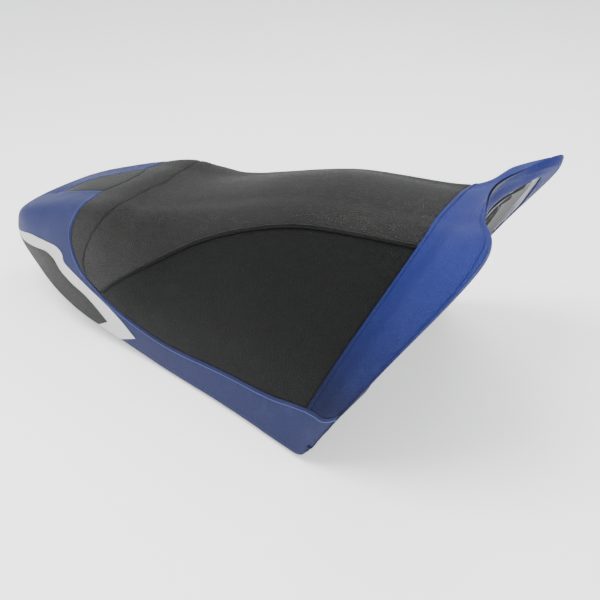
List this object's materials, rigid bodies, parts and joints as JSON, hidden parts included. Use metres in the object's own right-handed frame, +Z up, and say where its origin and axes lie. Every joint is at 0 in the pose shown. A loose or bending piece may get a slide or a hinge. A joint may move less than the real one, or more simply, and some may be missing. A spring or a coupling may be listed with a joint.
{
  "type": "motorcycle seat",
  "caption": "Long one-up straddle seat with a swept-up tail, a flared open hood at the front, a sewn multi-panel vinyl cover over foam on a moulded pan, and a rear latch hook.",
  "frame": {"origin": "under the middle of the seat, on the plane of the feet's bottom faces", "axes": "+X towards the hood at the front, +Y towards the rider's left, +Z up"},
  "size_m": [0.8727, 0.4768, 0.3274],
  "materials": {
    "pan_plastic": "moulded polypropylene, fine matt texture",
    "foam": "open-cell polyurethane foam",
    "grain_vinyl": "black marine vinyl, fine leather grain, semi-matt",
    "side_vinyl": "darker black vinyl, fine grain, semi-matt",
    "blue_vinyl": "royal blue vinyl, smooth, satin",
    "deck_vinyl": "warm dark grey vinyl, satin",
    "white_vinyl": "white vinyl, satin",
    "lining_fabric": "grey woven backing cloth",
    "rubber": "black rubber",
    "steel": "zinc plated steel",
    "grip_plastic": "black nylon"
  },
  "bodies": {
    "seat": {"base_pan": "pan_plastic", "foam_cushion": "foam", "top_panel": "grain_vinyl", "bolster_panel": "grain_vinyl", "side_panel_right": "side_vinyl", "side_panel_left": "side_vinyl", "piping_right": "side_vinyl", "piping_left": "side_vinyl", "front_band": "blue_vinyl", "rim_hem": "blue_vinyl", "front_lining": "lining_fabric", "tail_cap": "blue_vinyl", "side_band_right": "blue_vinyl", "side_band_left": "blue_vinyl", "tail_deck_panel": "deck_vinyl", "flash_right": "white_vinyl", "flash_left": "white_vinyl", "window_right": "deck_vinyl", "window_left": "deck_vinyl", "cover_staples": "steel", "rubber_feet": "rubber", "mount_tab_right": "steel", "mount_tab_left": "steel", "tab_rivets": "steel", "latch_bracket": "steel", "latch_rivets": "steel", "latch_pin": "steel", "latch_spring": "steel"},
    "hook": {"latch_hook": "steel", "latch_pull": "grip_plastic"}
  },
  "joints": [
    {"name": "latch_hinge", "type": "hinge", "parent": "seat", "child": "hook", "pos_m": [-0.21, 0, 0.112], "axis": [0, 1, 0], "range_deg": [0, 22], "stiffness_Nm_per_rad": 0.6, "springref_deg": -20.05}
  ]
}
